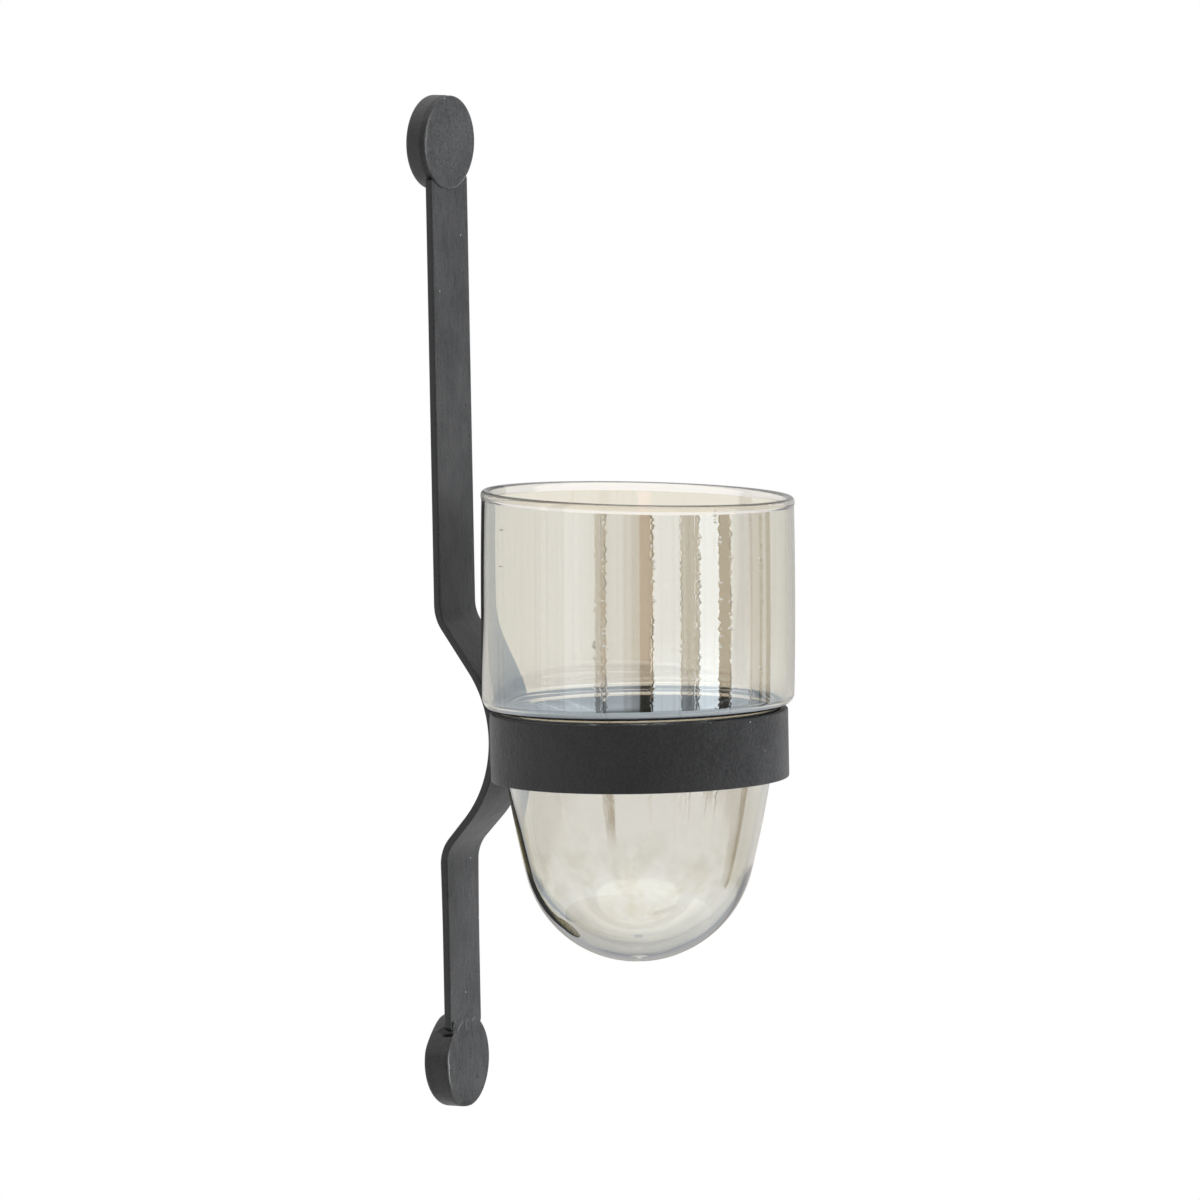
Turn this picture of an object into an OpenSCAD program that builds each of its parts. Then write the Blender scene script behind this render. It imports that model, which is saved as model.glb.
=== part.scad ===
// Wall tealight holder: a flat iron strap with a round disc at each end stands on the wall,
// bows forward to carry a flat band ring, and a blown glass cup hangs in the ring by its taper.
// The wall is the plane y = 0, the room lies towards -y, and the origin is the middle of the
// upper disc's back face.

/* [Flat bar] */
// Width of the flat bar that the strap and the ring are both bent from
bar_w = 20; // [17:0.5:21]
// Thickness of the flat bar
bar_t = 2.2; // [1.8:0.1:2.6]
// Rounding along the bar's four long edges
edge_r = 0.4; // [0.2:0.05:0.6]

/* [Strap] */
// Distance between the centres of the two wall discs
disc_spacing = 271.5; // [255:0.5:300]
// Gap between the wall and the strap's straight parts
wall_gap = 4.4; // [3.9:0.1:5]
// Depth of the bow, from the straight parts to the crest
bow_depth = 18; // [16:0.5:22]
// Bend radius of the crest, at the middle of the bar
crest_r = 35; // [26:1:38]
// Bend radius at the foot of each slope, at the middle of the bar
foot_r = 11; // [8:0.5:13]
// Slope of the bow above the ring, from upright
slope_above = 36.5; // [32:0.5:42]
// Slope of the bow below the ring, from upright
slope_below = 43; // [36:0.5:46]
// Distance of each strap end from its disc's centre
strap_end = 9.5; // [9:0.1:10.5]
// Rounding of the corners at the strap's ends
strap_corner_r = 2; // [1:0.25:3]

/* [Wall discs] */
// Diameter of a wall disc
disc_d = 27.8; // [26:0.2:32]
// Thickness of a wall disc in front of the strap
disc_front_t = 0.6; // [0.4:0.05:1.2]
// Rounding of the disc's back edge
back_round = 1.2; // [0.6:0.1:1.6]
// Rounding of the disc's front lip
lip_round = 0.4; // [0.2:0.05:0.45]
// Width of the waist behind the front lip
waist_w = 0.8; // [0.6:0.1:1]
// Depth of the waist behind the front lip
waist_depth = 0.6; // [0.3:0.1:0.8]
// Distance of the waist from the disc's front face
lip_t = 1; // [0.9:0.1:1.2]
// Running space round the strap's end in the disc's slot
slot_fit = 0.05; // [0.02:0.01:0.1]

/* [Keyhole] */
// Diameter of the hole that a screw's head enters
keyhole_d = 8.5; // [7:0.1:9]
// Width of the slot that a screw's shank slides up
shank_w = 4.5; // [3.5:0.1:5]
// How far the disc drops onto the screw
keyhole_travel = 5; // [4:0.5:6]
// Thickness of the wall that the screw's head hooks behind
keyhole_lip = 1.6; // [1.2:0.1:2]
// Depth of the whole keyhole
keyhole_depth = 4.6; // [4:0.1:5.2]

/* [Ring and welds] */
// Outside diameter of the band ring
ring_d = 87.4; // [85:0.2:89]
// Height of the ring's middle below the upper disc's centre
ring_drop = 175.3; // [165:0.5:185]
// Gap between the ring and the strap's crest, which the welds bridge
weld_gap = 0.1; // [0.05:0.01:0.2]
// Length of each weld between the ring and the strap
weld_len = 13; // [8:0.5:15]
// How far each weld reaches past the gap between the strap's edge and the round ring
weld_lap = 0.2; // [0.1:0.05:0.5]
// Radius of the hollow of the weld between the strap and the lower disc
disc_weld_r = 8; // [5:0.5:10]
// Thickness of the weld between the strap and the lower disc
disc_weld_t = 3.2; // [2.4:0.1:3.6]

/* [Glass cup] */
// How far the cup's straight part stands out past the ring
cup_overhang = 2.3; // [2:0.05:2.5]
// Height of the cup's straight part, from the shoulder to the rim
cup_h = 61.6; // [50:0.5:75]
// Thickness of the glass wall
glass_t = 1.9; // [1.5:0.1:2.4]
// Thickness of the glass at the bottom of the body
bottom_t = 2.8; // [2.4:0.1:4]
// Diameter of the fire-polished bead round the rim
rim_d = 2.5; // [2.4:0.1:3]
// Rounding of the lower corner of the straight part
corner_r = 3.3; // [2.8:0.1:3.6]
// Height of the shoulder above the ring
shoulder_lift = 1.5; // [1.2:0.1:2]
// Rounding where the shoulder turns down into the neck, outside
neck_r = 0.8; // [0.4:0.1:1]
// Rounding where the ledge turns down into the neck, inside
ledge_r = 1.6; // [1:0.1:2]
// Depth of the body from the shoulder to its lowest point
body_h = 75.4; // [70:0.2:85]
// How much smaller the radius of the body's round bottom is than the seat's
body_taper = 7.3; // [6:0.1:9]
// How far below its own equator the round bottom runs out into the tapered side, in degrees
bottom_turn = 14; // [10:0.5:18]
// Space between the glass and the ring where the taper sits
seat_gap = 0.2; // [0.1:0.05:0.3]

/* [Hidden] */
$fn = 256;
disc_r = disc_d / 2;
disc_t = wall_gap + bar_t + disc_front_t;
ring_r = ring_d / 2;
ring_bore_r = ring_r - bar_t;
cup_r = ring_r + cup_overhang;
crest_out_r = crest_r + bar_t / 2;

strap_mid_y = -(wall_gap + bar_t / 2);
crest_y = strap_mid_y - bow_depth;
ring_y = crest_y - bar_t / 2 - weld_gap - ring_r;
ring_top = -ring_drop + bar_w / 2;
// Depth of the gap between the strap's edge and the ring, which curves away from the strap
edge_gap = weld_gap + ring_r - sqrt(ring_r * ring_r - bar_w * bar_w / 4);
weld_r = edge_gap + weld_lap;

shoulder_z = ring_top + shoulder_lift;
rim_z = shoulder_z + cup_h;
body_z = shoulder_z - body_h;
seat_r = ring_bore_r - seat_gap;
bottom_r = seat_r - body_taper;
bottom_z = body_z + bottom_r;

// The side of the body is one long arc. It leaves the round bottom without a kink at bottom_turn
// below the bottom's equator, and passes through the seat at the ring's upper inner edge.
turn_dir = [cos(bottom_turn), -sin(bottom_turn)];
seat_from_bottom = [seat_r, ring_top - bottom_z];
seat_along_turn = seat_from_bottom * turn_dir;
side_r = (seat_from_bottom * seat_from_bottom + bottom_r * bottom_r - 2 * bottom_r * seat_along_turn)
    / (2 * (bottom_r - seat_along_turn));
side_centre = [0, bottom_z] - (side_r - bottom_r) * turn_dir;
// Radius of the body's side at height z
function side_at(z) = side_centre[0] + sqrt(pow(side_r, 2) - pow(z - side_centre[1], 2));

// How far a cutting shape runs past what it cuts
past = 1;

// Cross-section of the flat bar, width along x and thickness along y
module bar_section() {
    square([bar_w - 2 * edge_r, bar_t], center = true);
    square([bar_w, bar_t - 2 * edge_r], center = true);
    for (x = [-1, 1], y = [-1, 1])
        translate([x * (bar_w / 2 - edge_r), y * (bar_t / 2 - edge_r)]) circle(edge_r);
}

// Side view of all that lies between the wall and the strap's front face, or its back face where
// inset is the bar's thickness. Depth from the wall runs along x and height above the crest along y.
module behind_strap(inset, above, below) {
    depth = wall_gap + bar_t - inset;
    translate([0, -below]) square([depth, above + below]);
    intersection() {
        translate([depth + bow_depth - crest_out_r + inset, 0]) circle(crest_out_r - inset);
        translate([0, -crest_r]) square([depth + bow_depth + past, 2 * crest_r]);
    }
    half_bow(inset, slope_above);
    mirror([0, 1]) half_bow(inset, slope_below);
}

// One slope of the bow: it leaves the crest's arc at a tangent and runs down to a hollow curve
// at its foot
module half_bow(inset, slope) {
    depth = wall_gap + bar_t - inset;
    crest = crest_out_r - inset;
    hollow = foot_r - bar_t / 2 + inset;
    fall = crest * (1 - cos(slope));
    leave = [depth + bow_depth - fall, crest * sin(slope)];
    foot = [depth, leave[1] + (bow_depth - fall) / tan(slope)];
    reach = hollow * tan(slope / 2);
    start = foot + reach * [sin(slope), -cos(slope)];
    polygon([[0, 0], [leave[0], 0], leave, foot, [0, foot[1]]]);
    difference() {
        polygon([foot - [depth / 2, 0], start, foot + [hollow, reach], foot + [-depth / 2, reach]]);
        translate(foot + [hollow, reach]) circle(hollow);
    }
}

// What is cut from a square corner at the origin, lying in +x +y, to round it. The same shape
// fills a hollow corner with a hollow curve.
module corner(radius) {
    difference() {
        translate([-past, -past]) square(radius + past);
        translate([radius, radius]) circle(radius);
    }
}

module wall_strap() {
    above = ring_drop - strap_end;
    below = disc_spacing - ring_drop - strap_end;
    color("#35363a") translate([0, 0, -ring_drop]) difference() {
        rotate([90, 0, -90]) linear_extrude(bar_w, center = true) difference() {
            behind_strap(0, above, below);
            behind_strap(bar_t, above + past, below + past);
        }
        for (x = [-1, 1], end = [[1, above], [-1, below]])
            scale([x, 1, end[0]]) translate([bar_w / 2, 0, end[1]]) rotate([90, 0, 0])
                mirror([1, 0]) mirror([0, 1]) linear_extrude(disc_t) corner(strap_corner_r);
    }
}

// Half-section of a wall disc, from its back face at height 0 to its front face
module disc_section() {
    waist_at = disc_t - lip_t;
    difference() {
        square([disc_r, disc_t]);
        translate([disc_r, 0]) mirror([1, 0]) corner(back_round);
        translate([disc_r, disc_t]) mirror([1, 0]) mirror([0, 1]) corner(lip_round);
        translate([disc_r, waist_at]) scale([waist_depth / waist_w * 2, 1]) circle(waist_w / 2);
    }
}

// A wall disc round the strap's end, with the strap coming in from below
module wall_disc() {
    difference() {
        rotate([90, 0, 0]) rotate_extrude() disc_section();
        translate([-disc_r, -(wall_gap + bar_t + slot_fit), -2 * disc_r])
            cube([2 * disc_r, bar_t + 2 * slot_fit, 2 * disc_r - strap_end + slot_fit]);
    }
}

// The keyhole in a disc's back: round entry, slot for the shank, wider pocket for the head
module keyhole() {
    rotate([90, 0, 0]) {
        translate([0, 0, -past]) cylinder(d = keyhole_d, h = keyhole_depth + past);
        translate([0, 0, -past]) linear_extrude(keyhole_depth) slot(shank_w);
        translate([0, 0, keyhole_lip]) linear_extrude(keyhole_depth - keyhole_lip) slot(keyhole_d);
    }
}

module slot(width) {
    translate([-width / 2, 0]) square([width, keyhole_travel]);
    translate([0, keyhole_travel]) circle(d = width);
}

module upper_disc() {
    color("#3b3c40") difference() {
        wall_disc();
        keyhole();
    }
}

module lower_disc() {
    color("#3b3c40") translate([0, 0, -disc_spacing]) mirror([0, 0, 1]) wall_disc();
}

// Welds that fill the two corners between the strap's edges and the lower disc's rim
module lower_weld() {
    reach = disc_r + disc_weld_r;
    weld_x = bar_w / 2 + disc_weld_r;
    weld_z = sqrt(reach * reach - weld_x * weld_x);
    color("#3b3c40") translate([0, strap_mid_y, -disc_spacing]) rotate([90, 0, 0])
        for (side = [-1, 1]) scale([side, 1, 1])
            translate([0, 0, -disc_weld_t / 2]) linear_extrude(disc_weld_t) difference() {
                polygon([[bar_w / 2, 0], [weld_x * disc_r / reach, weld_z * disc_r / reach],
                    [weld_x, weld_z], [bar_w / 2, weld_z]]);
                circle(disc_r);
                translate([weld_x, weld_z]) circle(disc_weld_r);
            }
}

module holder_ring() {
    color("#2c2d2f") translate([0, ring_y, -ring_drop])
        rotate_extrude() translate([ring_r - bar_t / 2, 0]) rotate(90) bar_section();
}

// Welds that close the narrowing gaps between the strap's edges and the round ring
module ring_welds() {
    color("#2c2d2f") difference() {
        for (side = [-1, 1]) translate([side * bar_w / 2, crest_y - bar_t / 2, -ring_drop]) {
            translate([0, 0, -weld_len / 2]) cylinder(r = weld_r, h = weld_len);
            for (end = [-1, 1]) translate([0, 0, end * weld_len / 2]) sphere(r = weld_r);
        }
        wall_strap();
        translate([0, ring_y, -ring_drop - bar_w]) cylinder(r = ring_r, h = 2 * bar_w);
    }
}

// Half-section of the body below the shoulder, inset from the outside by a wall thickness, more
// at the bottom. The round bottom meets the long arc of the side without a kink.
module body_section(inset, bottom_inset) {
    side = side_r - inset;
    low = body_z + bottom_inset;
    hang = low - side_centre[1];
    round_r = (side * side - side_centre[0] * side_centre[0] - hang * hang) / (2 * (side + hang));
    turn = side_centre[1] + (low + round_r - side_centre[1]) * side / (side - round_r);
    intersection() {
        translate([0, turn]) square([ring_r, shoulder_z + glass_t - turn]);
        translate(side_centre) circle(side);
    }
    intersection() {
        translate([0, low]) square([ring_r, 2 * round_r]);
        translate([0, low + round_r]) circle(round_r);
    }
}

// Half-section of the straight part, inset from the outside by a wall thickness
module cup_section(inset, top) {
    difference() {
        translate([0, shoulder_z + inset]) square([cup_r - inset, top - shoulder_z - inset]);
        translate([cup_r - inset, shoulder_z + inset]) mirror([1, 0]) corner(corner_r - inset);
    }
}

module glass_cup() {
    neck_out = side_at(shoulder_z);
    neck_in = side_at(shoulder_z + glass_t) - glass_t;
    color("#d9d6c6", 0.45) translate([0, ring_y, 0]) rotate_extrude() {
        difference() {
            union() {
                cup_section(0, rim_z - rim_d / 2);
                body_section(0, 0);
                translate([neck_out, shoulder_z]) mirror([0, 1]) corner(neck_r);
            }
            cup_section(glass_t, rim_z + past);
            body_section(glass_t, bottom_t);
            translate([neck_in, shoulder_z + glass_t]) mirror([0, 1]) corner(ledge_r);
        }
        translate([cup_r - rim_d / 2, rim_z - rim_d / 2]) circle(d = rim_d);
    }
}

wall_strap();
upper_disc();
lower_disc();
lower_weld();
holder_ring();
ring_welds();
glass_cup();
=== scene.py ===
import math
import random

import bmesh
import bpy
from mathutils import Matrix, Vector


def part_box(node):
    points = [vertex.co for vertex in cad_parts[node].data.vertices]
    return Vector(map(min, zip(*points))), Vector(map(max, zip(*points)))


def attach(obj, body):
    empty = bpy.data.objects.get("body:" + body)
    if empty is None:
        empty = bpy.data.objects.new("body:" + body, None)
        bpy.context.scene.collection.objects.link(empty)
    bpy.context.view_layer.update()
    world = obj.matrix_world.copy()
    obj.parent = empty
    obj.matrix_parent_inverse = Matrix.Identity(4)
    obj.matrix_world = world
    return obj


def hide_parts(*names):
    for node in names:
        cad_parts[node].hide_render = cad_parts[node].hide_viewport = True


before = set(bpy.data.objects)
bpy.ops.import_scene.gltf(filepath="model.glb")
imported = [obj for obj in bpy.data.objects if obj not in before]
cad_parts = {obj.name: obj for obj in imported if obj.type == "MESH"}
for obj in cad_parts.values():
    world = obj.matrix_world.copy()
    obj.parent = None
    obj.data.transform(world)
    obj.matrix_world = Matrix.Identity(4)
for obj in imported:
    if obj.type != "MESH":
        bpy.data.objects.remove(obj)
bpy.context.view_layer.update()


# Camera
# A long lens looks at the holder from the left of its front and a little from above, and is
# turned about its own axis by a degree, as the holder leans in the photograph.
camera_azimuth = math.radians(-58.5)
camera_elevation = math.radians(5.6)
camera_roll = math.radians(1.08)
camera_distance = 4.7
picture_px = 1200
px_per_m = 3413.5
sensor_width = 36.0
look_at = Vector((0.0, -0.057, -0.136))
look_at_px = Vector((603.8, 609.1))

camera_back = Vector((math.sin(camera_azimuth) * math.cos(camera_elevation),
                      -math.cos(camera_azimuth) * math.cos(camera_elevation),
                      math.sin(camera_elevation)))
level_right = Vector((math.cos(camera_azimuth), math.sin(camera_azimuth), 0))
level_up = camera_back.cross(level_right)
camera_right = level_right * math.cos(camera_roll) - level_up * math.sin(camera_roll)
camera_up = level_right * math.sin(camera_roll) + level_up * math.cos(camera_roll)
middle_px = Vector((picture_px / 2, picture_px / 2))
aim = (look_at + camera_right * (middle_px.x - look_at_px.x) / px_per_m
       - camera_up * (middle_px.y - look_at_px.y) / px_per_m)


def new_object(name, data):
    """An object at the origin that holds a lens, a lamp or a mesh. A bmesh is made a mesh first."""
    if isinstance(data, bmesh.types.BMesh):
        shape = data
        data = bpy.data.meshes.new(name)
        shape.to_mesh(data)
        shape.free()
    else:
        data.name = name
    made = bpy.data.objects.new(name, data)
    bpy.context.scene.collection.objects.link(made)
    return made


camera = new_object("camera", bpy.data.cameras.new("camera"))
bpy.context.scene.camera = camera
camera.data.sensor_width = sensor_width
camera.data.lens = sensor_width * camera_distance * px_per_m / picture_px
camera.data.clip_end = 60
turned = Matrix((camera_right, camera_up, camera_back)).transposed().to_4x4()
camera.matrix_world = Matrix.Translation(aim + camera_back * camera_distance) @ turned
bpy.context.scene.view_settings.view_transform = "Standard"


# Studio
# White all round for the camera and for what is seen through the glass. What the coated glass
# and the paint mirror is a row of tall soft boxes with dark gaps between them, over a pale floor.


class Graph:
    """A node tree that is being built. node() adds any node and gives back one of its outputs."""

    def __init__(self, tree):
        tree.nodes.clear()
        self.tree = tree

    def node(self, kind, inputs=(), output=0, **settings):
        made = self.tree.nodes.new(kind)
        for name, value in settings.items():
            if name == "stops":
                self.set_stops(made.color_ramp, value)
            else:
                setattr(made, name, value)
        for key, value in dict(inputs).items():
            self.feed(made.inputs[key], value)
        return Link(self, made.outputs[output], made) if made.outputs else None

    def feed(self, socket, value):
        if isinstance(value, Link):
            self.tree.links.new(value.socket, socket)
        else:
            socket.default_value = value

    @staticmethod
    def set_stops(ramp, stops):
        while len(ramp.elements) < len(stops):
            ramp.elements.new(1.0)
        for element, (place, colour) in zip(ramp.elements, stops):
            element.position = place
            element.color = (colour, colour, colour, 1) if isinstance(colour, float) else (*colour, 1)

    def blend(self, share, first, second):
        """A colour between first and second."""
        return self.node("ShaderNodeMix", {0: share, 6: first, 7: second}, 2, data_type="RGBA")

    def smooth(self, value, low, high):
        """0 below low, 1 above high and a soft step between them."""
        return self.node("ShaderNodeMapRange", {0: value, 1: low, 2: high},
                         interpolation_type="SMOOTHSTEP")

    def window(self, value, opening, closing):
        """1 between two soft steps, each given by its low and its high end, and 0 outside them."""
        return self.smooth(value, *opening) * (1 - self.smooth(value, *closing))

    def vector(self, operation, *values, output=0):
        """A Vector Math node."""
        return self.node("ShaderNodeVectorMath", dict(enumerate(values)), output, operation=operation)

    def scale(self, vector, factor):
        """A vector or colour times a value."""
        return self.node("ShaderNodeVectorMath", {0: vector, "Scale": factor}, operation="SCALE")

    def noise(self, place, scale, detail, roughness=0.5):
        """Noise about 0.5 through space."""
        return self.node("ShaderNodeTexNoise", {"Vector": place, "Scale": scale, "Detail": detail,
                                                "Roughness": roughness})

    def noise_along(self, value, scale, detail):
        """Noise about 0.5 along a single value."""
        return self.node("ShaderNodeTexNoise", {"W": value, "Scale": scale, "Detail": detail},
                         noise_dimensions="1D")


class Link:
    """One output in a Graph. Sums on it add the Math nodes that they stand for."""

    def __init__(self, graph, socket, made=None):
        self.graph, self.socket, self.made = graph, socket, made

    def maths(self, operation, *values):
        return self.graph.node("ShaderNodeMath", dict(enumerate(values)), operation=operation)

    def also(self, name):
        """Another output of the same node."""
        return Link(self.graph, self.made.outputs[name], self.made)

    def bell(self):
        """1 where the value is 0, falling softly to 0 on both sides."""
        return self.maths("EXPONENT", self * self * -1)

    def __add__(self, other):
        return self.maths("ADD", self, other)

    def __sub__(self, other):
        return self.maths("SUBTRACT", self, other)

    def __rsub__(self, other):
        return self.maths("SUBTRACT", other, self)

    def __mul__(self, other):
        return self.maths("MULTIPLY", self, other)

    def __truediv__(self, other):
        return self.maths("DIVIDE", self, other)

    __radd__, __rmul__ = __add__, __mul__


# Where each soft box or gap begins, in degrees to the right of the camera's side, and its brightness
left_boxes = [(-180, 0.68), (-77, 0.75), (-56, 0.86), (-40.5, 0.78), (-32.3, 0.3), (-27.7, 0.14),
              (-23.4, 0.66), (-10.5, 0.52), (-5.5, 0.38), (0.6, 0.015), (10.3, 0.88)]
right_boxes = [(20, 0.88), (31, 0.17), (32.8, 0.4), (35, 0.22), (39.8, 0.34), (42.8, 0.12),
               (44.8, 1.15), (61.2, 0.03), (71, 0.8), (74.3, 0.66), (90.2, 0.1), (92.3, 0.42),
               (100.9, 0.08), (102.9, 0.44), (109, 0.15), (114.5, 0.64)]
inner_boxes = [(-180, 0.7), (-10.3, (1.3, 0.94, 0.92)), (-0.6, 0.7)]
box_join = 15
box_edge = 0.5
box_foot = -0.41
box_foot_soft = 0.06
streak_scale = 90.0
streak_depth = 0.5

# Light by direction. A height, or a pair for a soft step, is the upward or the forward part of a
# ray's direction, and the other values are brightnesses.
overhead = 0.45
overhead_soft = 0.3
overhead_light = 1.3
floor_light_front = 0.83
floor_light_back = 0.9
floor_light_step = (-0.4, 0.2)
inner_top = 0.08
inner_top_step = (0.0, 0.05)
diffuse_low = 0.05
diffuse_high = 0.26
diffuse_step = (-0.2, 0.8)
diffuse_front = 0.45
diffuse_front_step = (0.3, 0.95)

# Where the boxes differ low down. A pair is a soft step, in degrees for a bearing and otherwise as
# a drop, which is how far a ray looks below level.
stand_foot = -0.5
stand_bearings = [((-34, -32), (-23, -21)), ((99, 101), (124, 126))]
low_band_gain = 0.35
low_band_drops = ((0.108, 0.15), (0.19, 0.3))
dome_gain = 0.2
dome_step = (0.36, 0.42)
foot_line = 0.6
foot_line_bearings = ((-30, -24), (8, 12))
foot_line_drops = ((0.16, 0.2), (0.33, 0.37))
low_right = 0.54
low_right_bearings = ((84, 88), (104, 106))
low_right_step = (0.15, 0.22)


def bearing(degrees):
    """Where a bearing lies along a ramp that spans the full turn."""
    return (degrees + 180) / 360


def box_stops(boxes):
    """Stops of a ramp that steps from each soft box's brightness to the next one's."""
    stops = [(0.0, boxes[0][1])]
    for (_, before), (start, after) in zip(boxes, boxes[1:]):
        stops += [(bearing(start - box_edge), before), (bearing(start + box_edge), after)]
    return stops


def grey(value):
    """A grey as a colour."""
    return (value, value, value, 1)


world = bpy.data.worlds.new("studio")
bpy.context.scene.world = world
world.use_nodes = True
studio = Graph(world.node_tree)
toward = studio.node("ShaderNodeTexCoord", output="Generated")
level_front = (math.sin(camera_azimuth), -math.cos(camera_azimuth), 0)
front = studio.vector("DOT_PRODUCT", toward, level_front, output="Value")
side = studio.vector("DOT_PRODUCT", toward, level_right, output="Value")
height = studio.node("ShaderNodeSeparateXYZ", {0: toward}, "Z")
drop = height * -1
turn = side.maths("ARCTAN2", side, front) / math.tau + 0.5


def within(bearings):
    """1 between two bearings and 0 outside them, with a soft step at each."""
    opening, closing = [[bearing(degrees) for degrees in step] for step in bearings]
    return studio.window(turn, opening, closing)


boxes_left = studio.node("ShaderNodeValToRGB", {0: turn}, stops=box_stops(left_boxes))
boxes_right = studio.node("ShaderNodeValToRGB", {0: turn}, stops=box_stops(right_boxes))
boxes = studio.blend(turn.maths("GREATER_THAN", turn, bearing(box_join)), boxes_left, boxes_right)
box_streaks = studio.noise_along(turn, streak_scale, 3.0)
boxes = studio.blend((box_streaks - 0.5) * streak_depth, boxes, grey(0))
below_gaps = within(low_right_bearings) * studio.smooth(drop, *low_right_step)
boxes = studio.blend(below_gaps, boxes, grey(low_right))
low_band = studio.window(drop, *low_band_drops)
below_dome = studio.smooth(drop, *dome_step)
on_foot = within(foot_line_bearings) * studio.window(drop, *foot_line_drops)
gain = (1 + low_band * low_band_gain + below_dome * dome_gain) * (1 - on_foot * foot_line)
boxes = studio.scale(boxes, gain)

# What a ray meets: the boxes or the inside's plain surround, the floor below and the light above
rays = studio.node("ShaderNodeLightPath", output="Is Diffuse Ray")
is_mirrored = rays.maths("GREATER_THAN", rays.also("Glossy Depth"), 0.5)
is_within = rays.maths("GREATER_THAN", rays.also("Transmission Depth"), 0.5)
inner = studio.node("ShaderNodeValToRGB", {0: turn}, stops=box_stops(inner_boxes))
inner = studio.blend(studio.smooth(height, *inner_top_step), inner, grey(inner_top))
mirrored = studio.blend(is_within, boxes, inner)
in_front = studio.smooth(front, *floor_light_step)
floor_light = floor_light_back - (floor_light_back - floor_light_front) * in_front
on_stands = within(stand_bearings[0]) + within(stand_bearings[1])
foot = box_foot + (stand_foot - box_foot) * on_stands
mirrored = studio.blend(studio.smooth(height - foot, 0.0, box_foot_soft), floor_light, mirrored)
from_above = studio.smooth(height, overhead, overhead + overhead_soft)
mirrored = studio.blend(from_above, mirrored, grey(overhead_light))
light = studio.blend(is_mirrored, grey(1), mirrored)
diffuse = diffuse_low + (diffuse_high - diffuse_low) * studio.smooth(height, *diffuse_step)
diffuse = diffuse * (1 - diffuse_front * studio.smooth(front, *diffuse_front_step))
light = studio.blend(rays, light, diffuse)
background = studio.node("ShaderNodeBackground", {"Color": light, "Strength": 1.0})
studio.node("ShaderNodeOutputWorld", {0: background})

key_size = 1.2
key_power = 104
key_bearing = math.radians(100)
key_height = math.radians(10)
key_away = 2.2
key = new_object("key_light", bpy.data.lights.new("key_light", "AREA"))
key.data.shape = "SQUARE"
key.data.size = key_size
key.data.energy = key_power
key_turn = camera_azimuth + key_bearing
key_way = Vector((math.sin(key_turn) * math.cos(key_height),
                  -math.cos(key_turn) * math.cos(key_height), math.sin(key_height)))
key.matrix_world = (Matrix.Translation(look_at + key_way * key_away)
                    @ key_way.to_track_quat("Z", "Y").to_matrix().to_4x4())
key.visible_camera = False
key.visible_glossy = False
key.visible_transmission = False

floor_drop = 1.35
floor_r = 1.3
floor_light_share = 0.75
floor_straight = 1.12
floor_mirrored = 0.6
floor_mirrored_rim = 0.78
floor_fade_r = 0.85


def new_material(name):
    """A material without nodes, and the graph that its nodes are added to."""
    material = bpy.data.materials.new(name)
    material.use_nodes = True
    return material, Graph(material.node_tree)


floor_shape = bmesh.new()
bmesh.ops.create_circle(floor_shape, cap_ends=True, segments=96, radius=floor_r,
                        matrix=Matrix.Translation((0, 0, -floor_drop)))
floor = new_object("floor", floor_shape)
floor_paint, floor_graph = new_material("floor_white")
floor_matt = floor_graph.node("ShaderNodeBsdfDiffuse", {"Color": grey(0.9)})
floor_rays = floor_graph.node("ShaderNodeLightPath", output="Glossy Depth")
floor_place = floor_graph.node("ShaderNodeTexCoord", output="Object")
floor_out = floor_graph.vector("DISTANCE", floor_place, (0, 0, -floor_drop), output="Value")
rim_share = floor_graph.smooth(floor_out, floor_fade_r, floor_r)
mirrored_strength = floor_mirrored + (floor_mirrored_rim - floor_mirrored) * rim_share
floor_is_mirrored = floor_rays.maths("GREATER_THAN", floor_rays, 0.5)
floor_strength = floor_straight + (mirrored_strength - floor_straight) * floor_is_mirrored
floor_glow = floor_graph.node("ShaderNodeEmission", {"Color": grey(1), "Strength": floor_strength})
floor_look = floor_graph.node("ShaderNodeMixShader", {0: floor_light_share, 1: floor_matt, 2: floor_glow})
floor_look = floor_graph.node("ShaderNodeMixShader",
                              {0: floor_rays.also("Is Diffuse Ray"), 1: floor_look, 2: floor_matt})
floor_graph.node("ShaderNodeOutputMaterial", {0: floor_look})
floor.data.materials.append(floor_paint)


# Wall strap
# A flat iron bar with softened edges, bent cold into a round bow that carries the ring, with
# its two ends let into the wall discs. It is painted matt black with the rest of the bracket.
strap_low, strap_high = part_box("wall_strap")
ring_low, ring_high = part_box("holder_ring")
bar_w = strap_high.x - strap_low.x
bar_t = 0.0022
bar_edge_r = 0.0004
strap_corner_r = 0.002
crest_r = 0.035
foot_r = 0.011
slope_above = math.radians(36.5)
slope_below = math.radians(43)
lower_twist = math.radians(5)
twist_start = 0.66
twist_end = 0.9
strap_mid_y = strap_high.y - bar_t / 2
crest_y = strap_low.y + bar_t / 2
ring_mid_z = (ring_low.z + ring_high.z) / 2


def strap_path():
    """Corners of the strap's middle line, from its upper end down, before they are rounded."""
    crest_middle = Vector((0, crest_y + crest_r, ring_mid_z))
    half_turn = (slope_above + slope_below) / 2
    lean = (slope_above - slope_below) / 2
    apex = crest_middle + crest_r / math.cos(half_turn) * Vector((0, -math.cos(lean), math.sin(lean)))
    depth = strap_mid_y - apex.y
    return [Vector((0, strap_mid_y, strap_high.z)),
            Vector((0, strap_mid_y, apex.z + depth / math.tan(slope_above))),
            apex,
            Vector((0, strap_mid_y, apex.z - depth / math.tan(slope_below))),
            Vector((0, strap_mid_y, strap_low.z))]


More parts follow.
